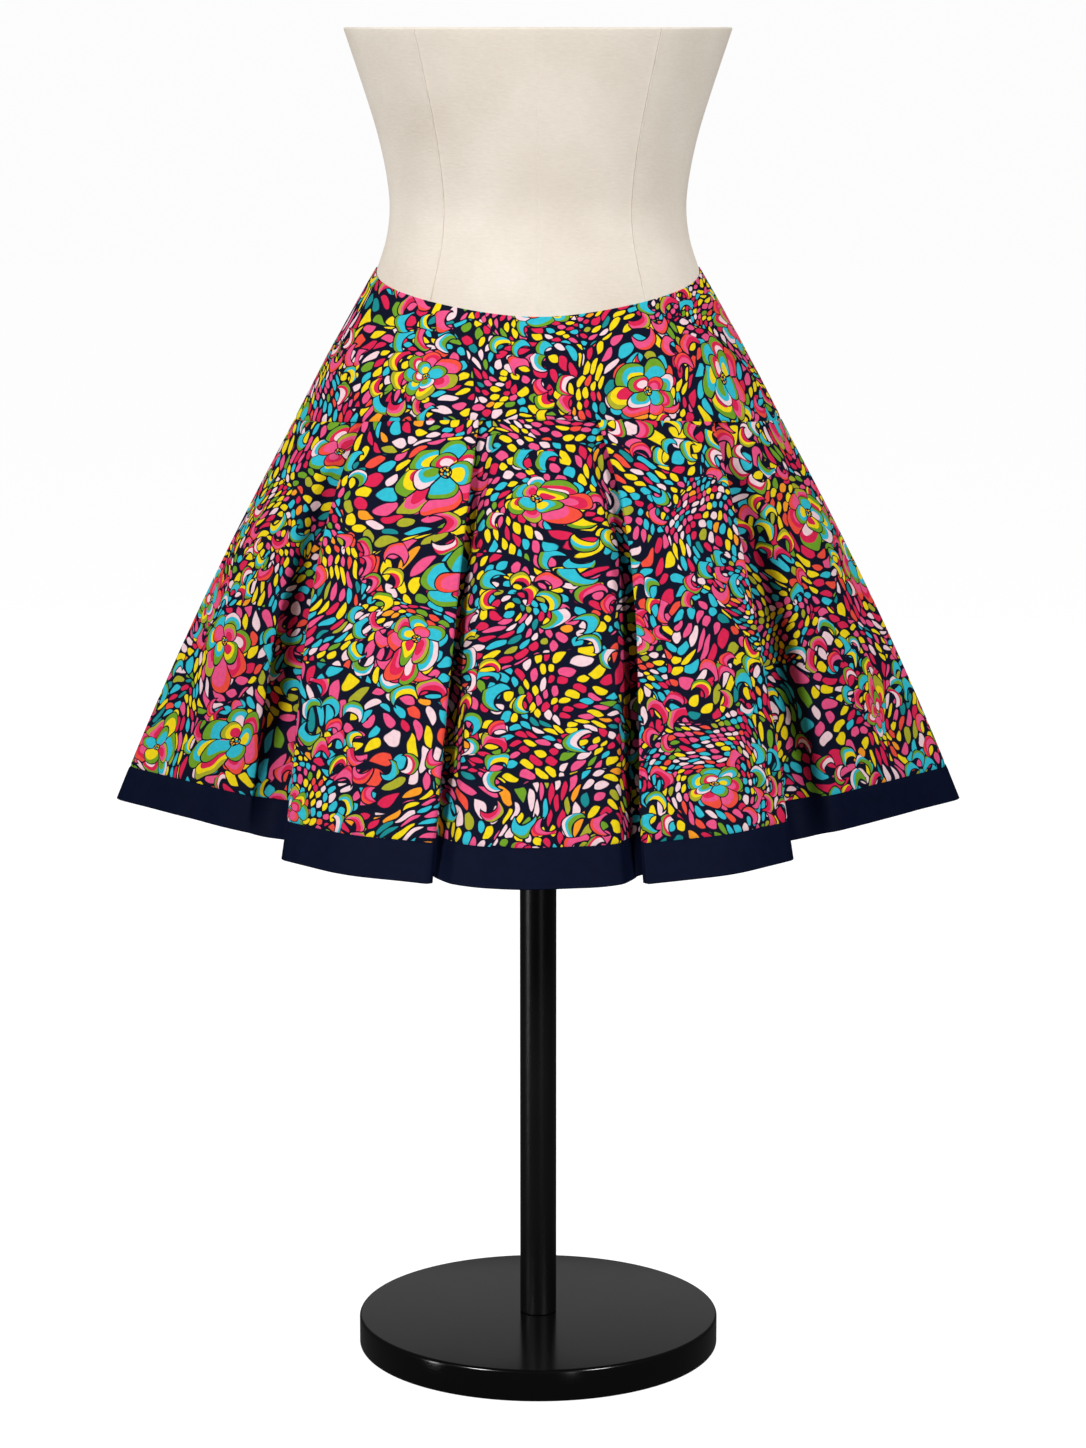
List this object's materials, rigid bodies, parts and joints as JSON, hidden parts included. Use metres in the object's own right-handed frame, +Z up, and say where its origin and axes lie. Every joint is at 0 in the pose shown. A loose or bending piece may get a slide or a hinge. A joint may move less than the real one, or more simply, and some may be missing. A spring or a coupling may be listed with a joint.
{
  "type": "pleated mini skirt on a half torso dress form",
  "caption": "Flared mini skirt with a fitted yoke, raised box pleats and a plain hem band, shown on a limbless half torso form with a pole and a round base.",
  "frame": {"origin": "centre of the underside of the round base, on the surface that it stands on, which is below the middle of the whole object's bounding box", "axes": "+Z up along the pole; -Y towards the wearer's front, so +X is the wearer's left"},
  "size_m": [0.6418, 0.568, 1.009],
  "materials": {
    "print_cloth": "printed plain-weave cotton: navy ground with small magenta, pink, yellow, turquoise and green leaf and petal shapes",
    "navy_cloth": "plain navy cotton, matt",
    "form_linen": "off-white woven linen cover with princess seams",
    "stand_black": "satin black powder coat",
    "zip_tape": "woven navy zip tape",
    "zip_enamel": "navy enamelled zinc"
  },
  "bodies": {
    "skirt_and_form": {"yoke_front": "print_cloth", "yoke_back_left": "print_cloth", "yoke_back_right": "print_cloth", "panel_front": "print_cloth", "panel_back_left": "print_cloth", "panel_back_right": "print_cloth", "hem_band_front": "navy_cloth", "hem_band_back_left": "navy_cloth", "hem_band_back_right": "navy_cloth", "zip_tape": "zip_tape", "zip_slider": "zip_enamel", "form_torso": "form_linen", "stand_pole": "stand_black", "stand_base": "stand_black"},
    "zip_pull": {"zip_pull": "zip_enamel"}
  },
  "joints": [
    {"name": "pull_tab_swing", "type": "hinge", "parent": "skirt_and_form", "child": "zip_pull", "pos_m": [0, 0.09692, 0.83288], "axis": [1, 0, 0], "range_deg": [0, 150]}
  ]
}
